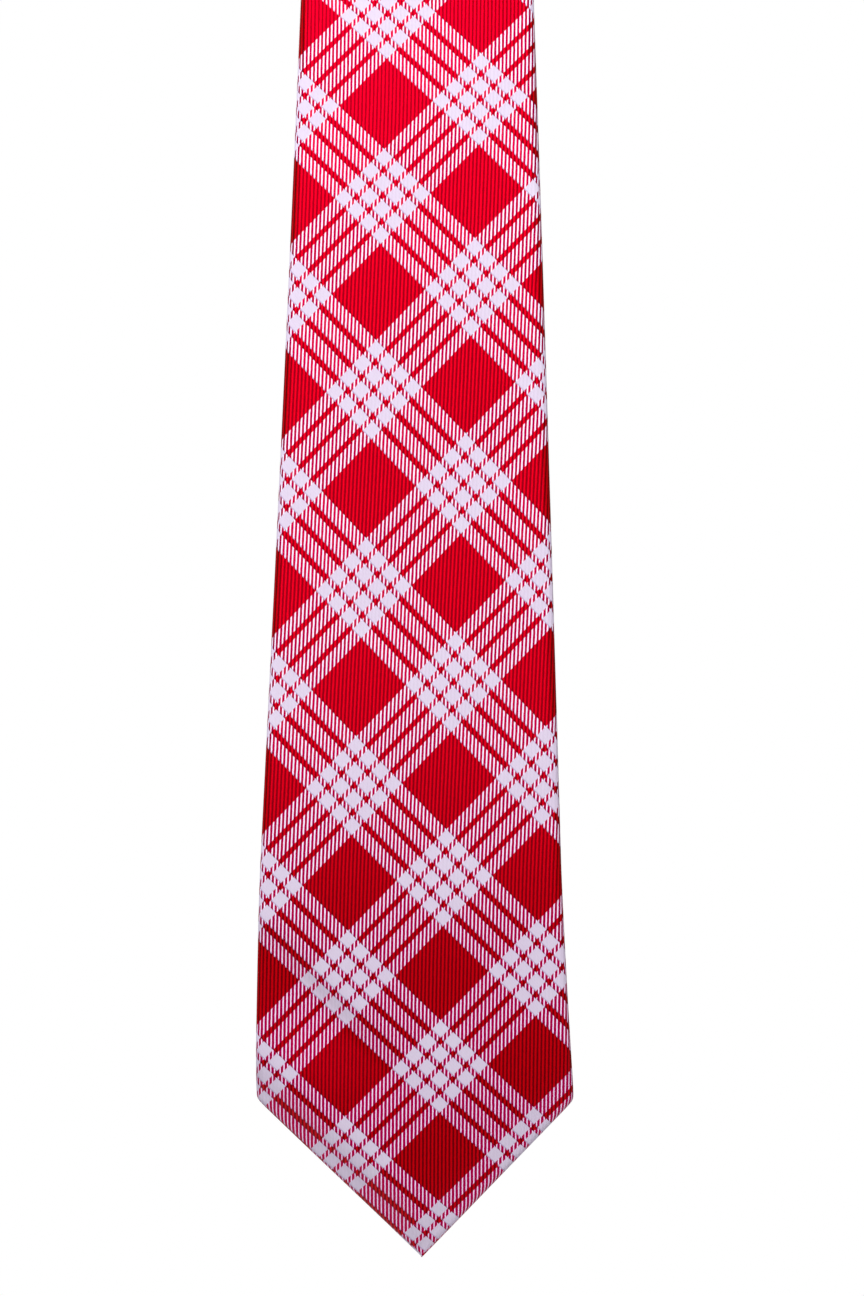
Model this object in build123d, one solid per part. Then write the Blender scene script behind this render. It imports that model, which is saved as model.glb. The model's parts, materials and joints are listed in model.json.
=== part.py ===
"""A necktie hanging over a rail: wide blade in front, tail behind.

Millimetres. X runs across the tie along the rail, -Y is the front, +Z is up. The origin is the rail's
axis at the middle of the tie. Depth t is counted from the outer (face) side of the tie inwards, so the
rail side, with the back seam, is t = THICKNESS on the blade, over the arch and on the tail alike.
"""

import os
from math import pi, sqrt

from build123d import *

os.makedirs("parts", exist_ok=True)

# Overall sizes
THICKNESS = 4.0
RAIL_RADIUS = 9.5
OUTER_RADIUS = RAIL_RADIUS + THICKNESS
FRONT_LENGTH = 812.0
TAIL_LENGTH = 632.0
FRONT = -1
REAR = 1

# Widths, as half widths
FRONT_HALF = 45.0
TAIL_HALF = 23.0
NECK_HALF = 19.0

# Heights above each tip where the taper reaches the neck's width
FRONT_NECK_RISE = 719.0
TAIL_NECK_RISE = 420.0

# Layers, as depths from the face side
FACE = (0.0, 0.5)
CAVITY = (0.5, 3.5)
BACK = (3.5, THICKNESS)
INTERLINING = (0.6, 2.7)
UNDERLAP = (2.8, 3.2)
TIPPING = (2.85, 3.25)
SIDE_WALL = 0.9
EDGE_ROUND = 1.5
TIP_ROUND = 1.2
INTERLINING_INSET = 1.3
TIPPING_INSET = 1.6

# Back seam: the flap from +X laps over the one from -X
LAP_EDGE = -2.0
LAP_SLIT = 0.2
UNDERLAP_REACH = 8.0
THREAD_RADIUS = 0.12
SLIP_STITCH_X = 1.0
SLIP_STITCH_DEPTH = 3.35

# Piecing seams of the neck gusset, cut at 45 degrees
FRONT_SEAM_Z = -42.0
TAIL_SEAM_Z = -192.0
SEAM_GAP = 0.2
SEAM_THREAD = 0.4
SEAM_THREAD_RISE = 1.0
SEAM_ALLOWANCE = 2.5

# Points of the blades
FRONT_TACK_RISE = 150.0
TAIL_TACK_RISE = 110.0
HEM = 7.0
FRONT_WINDOW_HALF = 36.0
TAIL_WINDOW_HALF = 15.5
TACK_WIDTH = 10.0
TACK_HEIGHT = 2.0
TACK_DEPTH = (3.6, 4.4)
HEM_THREAD = 0.5

# Keeper loop on the back of the wide blade
KEEPER_Z = -582.0
KEEPER_HEIGHT = 12.0
KEEPER_HALF = 33.0
KEEPER_TOP_HALF = 26.0
KEEPER_RISE = 6.3
KEEPER_CLOTH = 0.8
KEEPER_TACK_WIDTH = 1.5

# Labels on the back of the wide blade
LABEL_Z = -530.0
LABEL_WIDTH = 54.0
LABEL_HEIGHT = 30.0
LABEL_CLOTH = 0.35
LABEL_THREAD_INSET = 1.0
CARE_TOP_Z = -667.0
CARE_WIDTH = 20.0
CARE_LENGTH = 32.0
CARE_CLOTH = 0.3
CARE_CLEARANCE = 0.05
CARE_TACK_HEIGHT = 1.0


def face_y(depth, side):
    """The Y of a depth on the front (side -1) or rear (side 1) leg."""
    return side * (OUTER_RADIUS - depth)


def prism(points, depths, side):
    """A closed outline in X and Z, filled between two depths of one leg."""
    low_y, high_y = sorted(face_y(depth, side) for depth in depths)
    plane = Plane(origin=(0, high_y, 0), x_dir=(1, 0, 0), z_dir=(0, -1, 0))
    outline = make_face(Polyline(*points, close=True))
    return extrude(plane * outline, high_y - low_y)


def block(x, z, depths, side):
    """A box given by its X, Z and depth ranges on one leg."""
    corners = [(x[0], z[0]), (x[1], z[0]), (x[1], z[1]), (x[0], z[1])]
    return prism(corners, depths, side)


def mirrored(right_side):
    """A closed outline from its right-hand points, listed from the bottom up."""
    left_side = [(-x, z) for x, z in reversed(right_side) if x > 0]
    return right_side + left_side


def below_seam(seam_z, side, gap):
    """The half space under a 45 degree piecing seam, on one leg."""
    reach = 60.0
    bottom = -1.2 * FRONT_LENGTH
    points = [
        (-reach, seam_z + side * reach - gap),
        (-reach, bottom),
        (reach, bottom),
        (reach, seam_z - side * reach - gap),
    ]
    return prism(points, (-1.0, THICKNESS + 1.0), side)


class Blade:
    """The numbers of one end of the tie, and the outlines worked out from them."""

    def __init__(self, name, side, length, half, neck_rise, tack_rise, window_half, seam_z):
        self.name = name
        self.side = side
        self.tip_z = -length
        self.half = half
        self.neck_z = self.tip_z + neck_rise
        self.tack_z = self.tip_z + tack_rise
        self.window_half = window_half
        self.seam_z = seam_z

    def outline(self, inset):
        """The blade from its 90 degree tip up past the seam, drawn in by inset all round."""
        tip = (0.0, self.tip_z + inset * sqrt(2))
        corner = (self.half - inset, self.tip_z + self.half + inset * (sqrt(2) - 1))
        neck = (NECK_HALF - inset, self.neck_z)
        return mirrored([tip, corner, neck, (NECK_HALF - inset, 0.0)])

    def window(self):
        """The kite behind the point where the tipping shows between the hem and the flaps."""
        low = self.tip_z + HEM * sqrt(2)
        return mirrored([(0.0, low), (self.window_half, low + self.window_half), (0.0, self.tack_z)])

    def trimmed(self, solid, gap=SEAM_GAP / 2):
        """The part of a solid that lies below this blade's piecing seam."""
        return solid & below_seam(self.seam_z, self.side, gap)


FRONT_BLADE = Blade(
    name="front",
    side=FRONT,
    length=FRONT_LENGTH,
    half=FRONT_HALF,
    neck_rise=FRONT_NECK_RISE,
    tack_rise=FRONT_TACK_RISE,
    window_half=FRONT_WINDOW_HALF,
    seam_z=FRONT_SEAM_Z,
)
TAIL_BLADE = Blade(
    name="tail",
    side=REAR,
    length=TAIL_LENGTH,
    half=TAIL_HALF,
    neck_rise=TAIL_NECK_RISE,
    tack_rise=TAIL_TACK_RISE,
    window_half=TAIL_WINDOW_HALF,
    seam_z=TAIL_SEAM_Z,
)


def blade_shell(blade):
    """The shell of one blade: a flat tube, open at the seam, with the lapped back seam and the window."""
    slab = prism(blade.outline(0.0), (0.0, THICKNESS), blade.side)
    tip = slab.edges().filter_by(Axis.Y).sort_by(Axis.Z)[0]
    slab = fillet(tip, TIP_ROUND)
    slab = fillet(slab.edges().filter_by(Axis.Y, reverse=True), EDGE_ROUND)
    shell = slab - prism(blade.outline(SIDE_WALL), CAVITY, blade.side)
    shell -= prism(blade.window(), BACK, blade.side)
    slit_x = (LAP_EDGE - LAP_SLIT, LAP_EDGE)
    shell -= block(slit_x, (blade.tack_z, 0.0), BACK, blade.side)
    lap_z = (blade.tack_z + TACK_HEIGHT, 0.0)
    shell += block((-UNDERLAP_REACH, UNDERLAP_REACH), lap_z, UNDERLAP, blade.side)
    shell += block((-UNDERLAP_REACH, slit_x[0]), lap_z, (UNDERLAP[0], BACK[0]), blade.side)
    return blade.trimmed(shell)


def blade_interlining(blade):
    return blade.trimmed(prism(blade.outline(INTERLINING_INSET), INTERLINING, blade.side))


def blade_tipping(blade):
    """The lining behind the point, from inside the hem up to the bar tack."""
    whole = prism(blade.outline(TIPPING_INSET), TIPPING, blade.side)
    return whole & block((-blade.half, blade.half), (blade.tip_z, blade.tack_z), TIPPING, blade.side)


def blade_slip_stitch(blade):
    """A straight run of thread between the two laps, from the bar tack to the seam."""
    low_z = blade.tack_z + TACK_HEIGHT
    centre = (SLIP_STITCH_X, face_y(SLIP_STITCH_DEPTH, blade.side), low_z)
    thread = extrude(Plane(origin=centre) * Circle(THREAD_RADIUS), -low_z)
    return blade.trimmed(thread, SEAM_ALLOWANCE)


def blade_bar_tack(blade):
    x = (LAP_EDGE - TACK_WIDTH / 2, LAP_EDGE + TACK_WIDTH / 2)
    return block(x, (blade.tack_z, blade.tack_z + TACK_HEIGHT), TACK_DEPTH, blade.side)


def blade_hem_thread(blade):
    """A V of thread just inside the hem of the point, on the tipping."""
    low = blade.tip_z + HEM * sqrt(2)
    high = low + blade.window_half
    width = HEM_THREAD * sqrt(2)
    outer = [(0.0, low), (blade.window_half, high)]
    inner = [(blade.window_half - width, high), (0.0, low + width)]
    right = [*outer, *inner]
    left = [(-x, z) for x, z in right]
    depths = (TIPPING[1], BACK[0])
    return prism(right, depths, blade.side) + prism(left, depths, blade.side)


def section(points):
    """A closed outline in X and depth as a face in the plane of the rail, on the front leg."""
    return make_face(Polyline(*[(x, face_y(depth, FRONT)) for x, depth in points], close=True))


def section_box(x, depths):
    return section([(x[0], depths[0]), (x[1], depths[0]), (x[1], depths[1]), (x[0], depths[1])])


def over_the_rail(profile, gap):
    """A section run down the front leg, over the rail and down the rear leg, ending at the two seams."""
    drop = NECK_HALF + SEAM_ALLOWANCE
    front = extrude(profile, FRONT_SEAM_Z - drop)
    front -= below_seam(FRONT_SEAM_Z, FRONT, -gap)
    rear = extrude(mirror(profile, about=Plane.XZ), TAIL_SEAM_Z - drop)
    rear -= below_seam(TAIL_SEAM_Z, REAR, -gap)
    arch = revolve(profile, axis=Axis((0, 0, 0), (-1, 0, 0)), revolution_arc=180)
    return front + arch + rear


def neck_shell():
    """The neck's flat tube of constant section, with the same lapped back seam as the blades."""
    whole = section_box((-NECK_HALF, NECK_HALF), (0.0, THICKNESS))
    rounded = fillet(whole.vertices(), EDGE_ROUND)
    hollow = NECK_HALF - SIDE_WALL
    profile = rounded - section_box((-hollow, hollow), CAVITY)
    slit_x = (LAP_EDGE - LAP_SLIT, LAP_EDGE)
    profile -= section_box(slit_x, BACK)
    profile += section_box((-UNDERLAP_REACH, UNDERLAP_REACH), UNDERLAP)
    profile += section_box((-UNDERLAP_REACH, slit_x[0]), (UNDERLAP[0], BACK[0]))
    return over_the_rail(profile, SEAM_GAP / 2)


def neck_interlining():
    half = NECK_HALF - INTERLINING_INSET
    return over_the_rail(section_box((-half, half), INTERLINING), SEAM_ALLOWANCE)


def neck_slip_stitch():
    centre = (SLIP_STITCH_X, face_y(SLIP_STITCH_DEPTH, FRONT))
    return over_the_rail(Pos(*centre) * Circle(THREAD_RADIUS), SEAM_ALLOWANCE)


def seam_thread(blade):
    """Thread along a piecing seam, on the neck's side of it and inside the face."""
    half = NECK_HALF - INTERLINING_INSET
    low = SEAM_THREAD_RISE - SEAM_THREAD / 2
    high = SEAM_THREAD_RISE + SEAM_THREAD / 2
    points = []
    for x, rise in [(-half, low), (half, low), (half, high), (-half, high)]:
        points.append((x, blade.seam_z - blade.side * x + rise))
    return prism(points, (FACE[1], FACE[1] + SEAM_THREAD), blade.side)


def keeper_outline(inset):
    """The keeper seen from above, as X and depth, drawn in by the cloth's thickness."""
    top = THICKNESS + KEEPER_RISE - inset
    return [
        (-KEEPER_HALF + inset, THICKNESS),
        (-KEEPER_TOP_HALF + inset / 2, top),
        (KEEPER_TOP_HALF - inset / 2, top),
        (KEEPER_HALF - inset, THICKNESS),
    ]


def keeper_loop():
    """A band of shell cloth that stands off the back and leaves room for the tail."""
    plane_z = KEEPER_Z - KEEPER_HEIGHT / 2
    outer = section(keeper_outline(0.0))
    inner = section(keeper_outline(KEEPER_CLOTH))
    top_corners = outer.vertices().sort_by(Axis.Y)[-2:]
    return extrude(Pos(0, 0, plane_z) * (fillet(top_corners, KEEPER_CLOTH) - inner), KEEPER_HEIGHT)


def keeper_tacks():
    z = (KEEPER_Z - KEEPER_HEIGHT / 2, KEEPER_Z + KEEPER_HEIGHT / 2)
    depths = (THICKNESS - LABEL_CLOTH, THICKNESS + LABEL_CLOTH)
    right = (KEEPER_HALF, KEEPER_HALF + KEEPER_TACK_WIDTH)
    left = (-right[1], -right[0])
    return block(left, z, depths, FRONT) + block(right, z, depths, FRONT)


def label_area(inset, depths):
    half_width = LABEL_WIDTH / 2 - inset
    half_height = LABEL_HEIGHT / 2 - inset
    z = (LABEL_Z - half_height, LABEL_Z + half_height)
    return block((-half_width, half_width), z, depths, FRONT)


def blank_label():
    return label_area(0.0, (THICKNESS, THICKNESS + LABEL_CLOTH))


def label_stitching():
    depths = (THICKNESS + LABEL_CLOTH, THICKNESS + LABEL_CLOTH + HEM_THREAD / 2)
    outer = label_area(LABEL_THREAD_INSET, depths)
    return outer - label_area(LABEL_THREAD_INSET + HEM_THREAD, depths)


def care_label():
    low = THICKNESS + CARE_CLEARANCE
    x = (-CARE_WIDTH / 2, CARE_WIDTH / 2)
    return block(x, (CARE_TOP_Z - CARE_LENGTH, CARE_TOP_Z), (low, low + CARE_CLOTH), FRONT)


def care_label_tack():
    low_z = CARE_TOP_Z + CARE_CLEARANCE
    half = CARE_WIDTH / 2 - LABEL_THREAD_INSET
    depths = (THICKNESS - CARE_CLEARANCE, THICKNESS + CARE_CLOTH)
    return block((-half, half), (low_z, low_z + CARE_TACK_HEIGHT), depths, FRONT)


def blade_parts(blade):
    makers = {
        "shell": blade_shell,
        "interlining": blade_interlining,
        "tipping": blade_tipping,
        "slip_stitch": blade_slip_stitch,
        "bar_tack": blade_bar_tack,
        "hem_thread": blade_hem_thread,
        "seam_thread": seam_thread,
    }
    return {f"{blade.name}_{part}": make(blade) for part, make in makers.items()}


def main():
    nodes = {
        **blade_parts(FRONT_BLADE),
        **blade_parts(TAIL_BLADE),
        "neck_shell": neck_shell(),
        "neck_interlining": neck_interlining(),
        "neck_slip_stitch": neck_slip_stitch(),
        "keeper_loop": keeper_loop(),
        "keeper_tacks": keeper_tacks(),
        "blank_label": blank_label(),
        "label_stitching": label_stitching(),
        "care_label": care_label(),
        "care_label_tack": care_label_tack(),
    }
    for name, solid in nodes.items():
        export_step(solid, f"parts/{name}.step")
    arch = pi * (RAIL_RADIUS + THICKNESS / 2)
    print(f"{len(nodes)} nodes, {FRONT_LENGTH + arch + TAIL_LENGTH:.0f} mm from tip to tip")


main()
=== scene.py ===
"""Looks of the necktie: red and white plaid cloth, lining, interlining, threads and labels.

Lengths are in millimetres and become metres in place(), which lays every piece along the tie. A place
on the tie is x across it, s along its middle layer from the wide tip, and n off that layer towards the
face. u is how far the shell cloth itself reaches from the middle of the face, round the folded edges.
"""

import json
import math

import bmesh
import bpy
import numpy as np
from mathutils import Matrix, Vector


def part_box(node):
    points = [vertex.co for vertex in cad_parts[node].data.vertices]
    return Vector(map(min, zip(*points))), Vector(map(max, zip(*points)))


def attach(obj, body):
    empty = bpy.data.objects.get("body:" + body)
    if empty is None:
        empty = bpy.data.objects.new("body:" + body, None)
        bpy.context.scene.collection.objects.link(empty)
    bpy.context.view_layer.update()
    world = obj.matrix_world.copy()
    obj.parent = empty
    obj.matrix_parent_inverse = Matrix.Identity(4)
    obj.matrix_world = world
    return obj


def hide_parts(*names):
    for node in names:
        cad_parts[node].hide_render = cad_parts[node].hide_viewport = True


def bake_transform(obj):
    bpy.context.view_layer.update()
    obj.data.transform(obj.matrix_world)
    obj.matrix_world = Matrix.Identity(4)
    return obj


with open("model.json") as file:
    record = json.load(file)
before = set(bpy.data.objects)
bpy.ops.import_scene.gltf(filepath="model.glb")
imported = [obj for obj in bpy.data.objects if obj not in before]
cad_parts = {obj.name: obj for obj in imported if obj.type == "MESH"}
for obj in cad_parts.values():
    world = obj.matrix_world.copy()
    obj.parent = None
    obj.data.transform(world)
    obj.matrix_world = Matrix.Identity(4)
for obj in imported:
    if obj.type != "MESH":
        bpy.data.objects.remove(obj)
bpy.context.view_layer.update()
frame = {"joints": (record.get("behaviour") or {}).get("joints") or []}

MM = 0.001


def box_mm(node):
    """A CAD node's lowest and highest corners, in millimetres."""
    return [np.array(corner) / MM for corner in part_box(node)]


def joint_mm(name):
    """A joint's place, in millimetres."""
    joint = next(j for j in frame["joints"] if j["name"] == name)
    return np.array(joint["pos_m"]) / MM


# ---- sizes, from the frame
FRONT_LOW, FRONT_HIGH = box_mm("front_shell")
NECK_LOW, NECK_HIGH = box_mm("neck_shell")
TAIL_LOW, TAIL_HIGH = box_mm("tail_shell")

THICKNESS = FRONT_HIGH[1] - FRONT_LOW[1]
HALF_THICK = THICKNESS / 2
MIDDLE_RADIUS = NECK_HIGH[1] - HALF_THICK
FRONT_LENGTH = -FRONT_LOW[2]
TAIL_LENGTH = -TAIL_LOW[2]
ARCH_LENGTH = math.pi * MIDDLE_RADIUS
TIE_LENGTH = FRONT_LENGTH + ARCH_LENGTH + TAIL_LENGTH
APEX_S = FRONT_LENGTH + ARCH_LENGTH / 2

FRONT_HALF = FRONT_HIGH[0]
TAIL_HALF = TAIL_HIGH[0]
NECK_HALF = NECK_HIGH[0]

FRONT_FOLD = joint_mm("front_fold")
TAIL_FOLD = joint_mm("tail_fold")
FRONT_SEAM_S = FRONT_LENGTH + FRONT_FOLD[2]
TAIL_SEAM_S = FRONT_LENGTH + ARCH_LENGTH - TAIL_FOLD[2]

# ---- sizes, of the cloth
CLOTH = 0.42
NECK_RISE = {"front": 719.0, "tail": 420.0}
HEM = 7.0
LAP_EDGE = -2.0
UNDERLAP = 8.0
LAP_DIP = 0.55
LAP_DIP_START = 2.5
LAP_DIP_EASE = 2.0
CROWN = 0.35
CORNER_SOFTNESS = 1.0
TAPER_SOFTNESS = 3.0
INTERLINING = (-0.7, 1.4)
INTERLINING_INSET = 2.0
INTERLINING_POINT_INSET = 1.8
TIPPING = (-1.18, -0.92)
TIPPING_INSET = 1.6
INTERLINING_TIP = 9.0
TIPPING_TIP = 6.5
TIPPING_BILLOW = 0.1
LAYER_COLUMNS = 60
SEAM_REACH = 90.0
SEAM_EASE = 2.5
WELD = 0.02

# The blades grow thin in the last millimetres of their points, and flat where they are narrow.
TIP_THIN = 0.45
TIP_THIN_REACH = 7.0
CROWN_REACH = 30.0

# Over what distance the two back flaps close above the tack.
OVER_EASE = 12.0
UNDER_EASE = 8.0

# How far the hanging tie strays sideways: slowly all along, and in a lean near the wide tip.
SWAY = 1.9
SWAY_START = 110.0
SWAY_SPAN = 600.0
TIP_LEAN = 3.2
TIP_LEAN_REACH = 115.0

# Soft ripples off the flat. They fade out below the arch, where the rail holds the tie.
HANG_START = 90.0
HANG_EASE = 200.0
RIPPLE = 0.9
RIPPLE_LENGTH = 95.0
SKEW_RIPPLE = 0.35
SKEW_RIPPLE_LENGTH = 41.0
SKEW_RIPPLE_WIDTH = 60.0
CURL = 0.0006
CURL_LENGTH = 130.0
TAIL_START = 40.0
TAIL_EASE = 150.0
TAIL_RIPPLE = 0.5
TAIL_RIPPLE_LENGTH = 70.0

# The one pressed crease, near the front blade's left corner: steep above it, gentle below it.
CREASE_X = -27.6
CREASE_S = 74.2
CREASE_DEPTH = 3.8
CREASE_STEEP = 3.8
CREASE_GENTLE = 24.0
CREASE_LENGTH = 27.0

# The lower blade's gentle belly, off the flat.
BELLY = 4.5
BELLY_S = 95.0
BELLY_REACH = 85.0

# How far the point's two sloping edges roll back, and over what distance. The left one rolls most.
POINT_ROLL = 6.4
POINT_ROLL_REACH = 7.0
ROLL_BOTH = 0.65
ROLL_LEFT = 0.35
ROLL_LEFT_EASE = 12.0

BODY_OF = {"front": "front_blade", "tail": "tail"}
RANDOM = np.random.default_rng(7)
LOOKS = {}


def smooth(t):
    """An easing from 0 to 1."""
    t = np.clip(t, 0.0, 1.0)
    return t * t * (3 - 2 * t)


def soft_min(a, b, softness):
    return (a + b - np.sqrt((a - b) ** 2 + softness**2)) / 2


def soft_max(a, b, softness):
    return -soft_min(-a, -b, softness)


# ---- where the tie hangs
def sway(s):
    """How far the hanging tie strays sideways."""
    slow = SWAY * np.sin(np.pi * np.clip((s - SWAY_START) / SWAY_SPAN, 0, 1))
    tip_lean = TIP_LEAN * np.clip((TIP_LEAN_REACH - s) / TIP_LEAN_REACH, 0, 1) ** 2
    return slow + tip_lean


def drape(x, s):
    """How far the whole thickness stands off the flat: ripples, a belly, a crease and rolled edges."""
    hang = smooth((FRONT_LENGTH - HANG_START - s) / HANG_EASE)
    ripples = RIPPLE * np.sin(s / RIPPLE_LENGTH + 0.6)
    ripples = ripples + SKEW_RIPPLE * np.sin(s / SKEW_RIPPLE_LENGTH + x / SKEW_RIPPLE_WIDTH)
    belly = BELLY * np.exp(-(((s - BELLY_S) / BELLY_REACH) ** 2))
    curl = CURL * x**2 * np.sin(s / CURL_LENGTH + 1.2)
    along = ((x - CREASE_X) - (s - CREASE_S)) / math.sqrt(2)
    across = ((x - CREASE_X) + (s - CREASE_S)) / math.sqrt(2)
    width = np.where(across > 0, CREASE_STEEP, CREASE_GENTLE)
    crease = -CREASE_DEPTH * np.exp(-((across / width) ** 2) - (along / CREASE_LENGTH) ** 2)
    from_point_edge = np.maximum(s - np.abs(x), 0) / math.sqrt(2)
    roll_share = ROLL_BOTH - ROLL_LEFT * np.tanh(x / ROLL_LEFT_EASE)
    roll = -POINT_ROLL * np.exp(-((from_point_edge / POINT_ROLL_REACH) ** 2)) * roll_share
    tail_side = smooth((s - FRONT_LENGTH - ARCH_LENGTH - TAIL_START) / TAIL_EASE)
    tail_wave = TAIL_RIPPLE * np.sin(s / TAIL_RIPPLE_LENGTH)
    return hang * (ripples + belly + curl + crease + roll) + tail_side * tail_wave


def place(x, s, n):
    """The points, in metres, of places on the tie."""
    x, s, n = np.broadcast_arrays(*(np.asarray(v, float) for v in (x, s, n)))
    turn = np.clip((s - FRONT_LENGTH) / MIDDLE_RADIUS, 0.0, math.pi)
    drop = np.maximum(FRONT_LENGTH - s, 0.0) + np.maximum(s - FRONT_LENGTH - ARCH_LENGTH, 0.0)
    radius = MIDDLE_RADIUS + n + drape(x, s)
    return np.stack([x + sway(s), -np.cos(turn) * radius, np.sin(turn) * radius - drop], -1) * MM


# ---- the two blades
class Blade:
    """One end of the tie: where its tip is, and how wide it and its openings are above the tip."""

    def __init__(self, name, tip_s, half, seam_s):
        self.name = name
        self.tip_s = tip_s
        self.up = 1 if tip_s == 0 else -1
        self.half = half
        self.seam_s = seam_s
        self.neck_rise = NECK_RISE[name]
        self.tack_rise = box_mm(f"{name}_bar_tack")[0][2] - box_mm(f"{name}_shell")[0][2]
        self.window_half = box_mm(f"{name}_hem_thread")[1][0]

    def rise(self, s):
        return self.up * (np.asarray(s, float) - self.tip_s)

    def s_at(self, rise):
        return self.tip_s + self.up * np.asarray(rise, float)

    def point_share(self, s):
        """1 in the point, 0 above the corners."""
        return smooth((self.half - self.rise(s)) / 2.0)

    def half_width(self, s):
        """The 90 degree point, then the straight taper, then the neck's width."""
        rise = self.rise(s)
        taper = (self.half - NECK_HALF) / (self.neck_rise - self.half)
        side = soft_max(self.half - taper * (rise - self.half), NECK_HALF, TAPER_SOFTNESS * taper)
        return np.maximum(soft_min(rise, side, CORNER_SOFTNESS), 0.0)

    def window(self, s):
        """Half the width of the kite on the back where the tipping shows."""
        rise = self.rise(s)
        low = HEM * math.sqrt(2)
        corner = low + self.window_half
        upper = self.window_half * (self.tack_rise - rise) / (self.tack_rise - corner)
        return np.maximum(soft_min(rise - low, upper, CORNER_SOFTNESS), 0.0)

    def flap_edges(self, s):
        """Where the two back flaps end: the one from +X over the other from -X."""
        rise = self.rise(s)
        opened = self.window(s)
        over = opened + LAP_EDGE * smooth((rise - self.tack_rise + OVER_EASE) / OVER_EASE)
        under = -opened + UNDERLAP * smooth((rise - self.tack_rise) / UNDER_EASE)
        return over, under


FRONT = Blade("front", 0.0, FRONT_HALF, FRONT_SEAM_S)
TAIL = Blade("tail", TIE_LENGTH, TAIL_HALF, TAIL_SEAM_S)


class Neck:
    """The gusset between the two piecing seams, of one width."""

    up = 1

    def point_share(self, s):
        return np.zeros_like(s)

    def half_width(self, s):
        return np.minimum(FRONT.half_width(s), TAIL.half_width(s))

    def flap_edges(self, s):
        return np.full_like(s, LAP_EDGE), np.full_like(s, UNDERLAP)


# ---- meshes
def new_object(name, vertices, faces, uv=None, smooth_shading=True):
    """A mesh object from points in metres. uv holds one pair for each vertex."""
    mesh = bpy.data.meshes.new(name)
    mesh.from_pydata(np.asarray(vertices).reshape(-1, 3).tolist(), [], faces)
    if uv is not None:
        layer = mesh.uv_layers.new(name="cloth")
        loops = np.empty(len(mesh.loops), np.int32)
        mesh.loops.foreach_get("vertex_index", loops)
        layer.data.foreach_set("uv", np.asarray(uv, np.float32).reshape(-1, 2)[loops].ravel())
    mesh.polygons.foreach_set("use_smooth", [smooth_shading] * len(mesh.polygons))
    mesh.update()
    made = bpy.data.objects.new(name, mesh)
    bpy.context.collection.objects.link(made)
    return made


def grid_faces(rows, columns, closed=False):
    """Quads of a grid, facing outwards when rows run along s and columns from +X round the face to -X."""
    faces = []
    span = columns if closed else columns - 1
    for i in range(rows - 1):
        for j in range(span):
            k = (j + 1) % columns
            faces.append((i * columns + j, (i + 1) * columns + j, (i + 1) * columns + k, i * columns + k))
    return faces


def weld(piece):
    """Joins points that lie on each other, as at a tip where a row shrinks to a point."""
    mesh = bmesh.new()
    mesh.from_mesh(piece.data)
    bmesh.ops.remove_doubles(mesh, verts=mesh.verts, dist=WELD * MM)
    mesh.to_mesh(piece.data)
    mesh.free()


def solidify(piece, thickness, offset=-1):
    """Gives a surface its thickness: inwards at offset -1, to both sides at 0."""
    modifier = piece.modifiers.new("thickness", "SOLIDIFY")
    modifier.thickness = thickness * MM
    modifier.offset = offset
    return modifier


def dress(piece, slot, node):
    """Gives a piece its look and lets it stand for its CAD node."""
    piece.data.materials.append(LOOKS[slot])
    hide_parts(node)


def bend(piece):
    """Bakes a piece's placement into its mesh."""
    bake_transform(piece)


def steps(*stretches):
    """Rows along the tie: each stretch is (start, end, spacing)."""
    rows = []
    for start, end, spacing in stretches:
        count = max(1, round(abs(end - start) / spacing))
        rows.extend(np.linspace(start, end, count, endpoint=False))
    rows.append(stretches[-1][1])
    return np.array(rows)


# ---- the plaid, in repeats
REPEAT_ACROSS = 53.3
REPEAT_ALONG = 56.3
LEAN_PER_MM = 0.0009
LEAN_FADES = (200.0, 405.0)
BIAS_STRETCH = 2.87e-8
STRETCH_MIDDLE_S = 186.0
PHASE_ACROSS = 0.4195
PHASE_ALONG = 2.5835
PLAID_RISE = 0.054

# The stripes wander a little: sideways by a swing, and along the tie by a slip.
SWING = (0.2, 0.7)
SWING_START = 125.0
SWING_SPAN = 200.0
SLIP = 0.55
SLIP_START = 130.0
SLIP_SPAN = 170.0

# Where the plaid falls on each part, in repeats sideways and along.
PLAID_SHIFT = {"front": (0.0, 0.0), "neck": (0.31, 0.18), "tail": (0.12, 0.43), "keeper": (0.2, 0.05)}


def wander(s, start, span):
    """A slow wave along the lower blade, held at its last value above start + span."""
    return np.sin(np.pi * (np.clip(s, 0, start + span) - start) / span)


def plaid(u, s, part):
    """Places in the plaid, counted in repeats across each of its two families of stripes.

    The cloth is cut on the bias, so both families run at 45 degrees. It leans a little and is
    stretched along the blade, most at the middle of the blade's lower half.
    """
    u, s = np.broadcast_arrays(np.asarray(u, float), np.asarray(s, float))
    lean_start, lean_end = LEAN_FADES
    eased = np.clip(s - lean_start, 0, lean_end - lean_start)
    lean = -LEAN_PER_MM * np.minimum(s, lean_end) + LEAN_PER_MM / (lean_end - lean_start) / 2 * eased**2
    across = PHASE_ACROSS + u / REPEAT_ACROSS + lean
    from_middle = s - STRETCH_MIDDLE_S
    near = np.clip(from_middle, -STRETCH_MIDDLE_S, STRETCH_MIDDLE_S)
    along = PHASE_ALONG - from_middle / REPEAT_ALONG - BIAS_STRETCH * near**3
    swing = SWING[0] + SWING[1] * wander(s, SWING_START, SWING_SPAN)
    slip = PLAID_RISE * u - SLIP * wander(s, SLIP_START, SLIP_SPAN)
    across = across + swing / REPEAT_ACROSS + PLAID_SHIFT[part][0]
    along = along + slip / REPEAT_ALONG + PLAID_SHIFT[part][1]
    return np.stack([across - along, across + along], -1)


# ---- shell cloth
BACK_COLUMNS = 24
FOLD_COLUMNS = 9
FRONT_COLUMNS = 46
SEAM_DIP = 0.4
POINT_EDGE_TURN = 2.3
SEAM_WIDTH = 1.1


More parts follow.
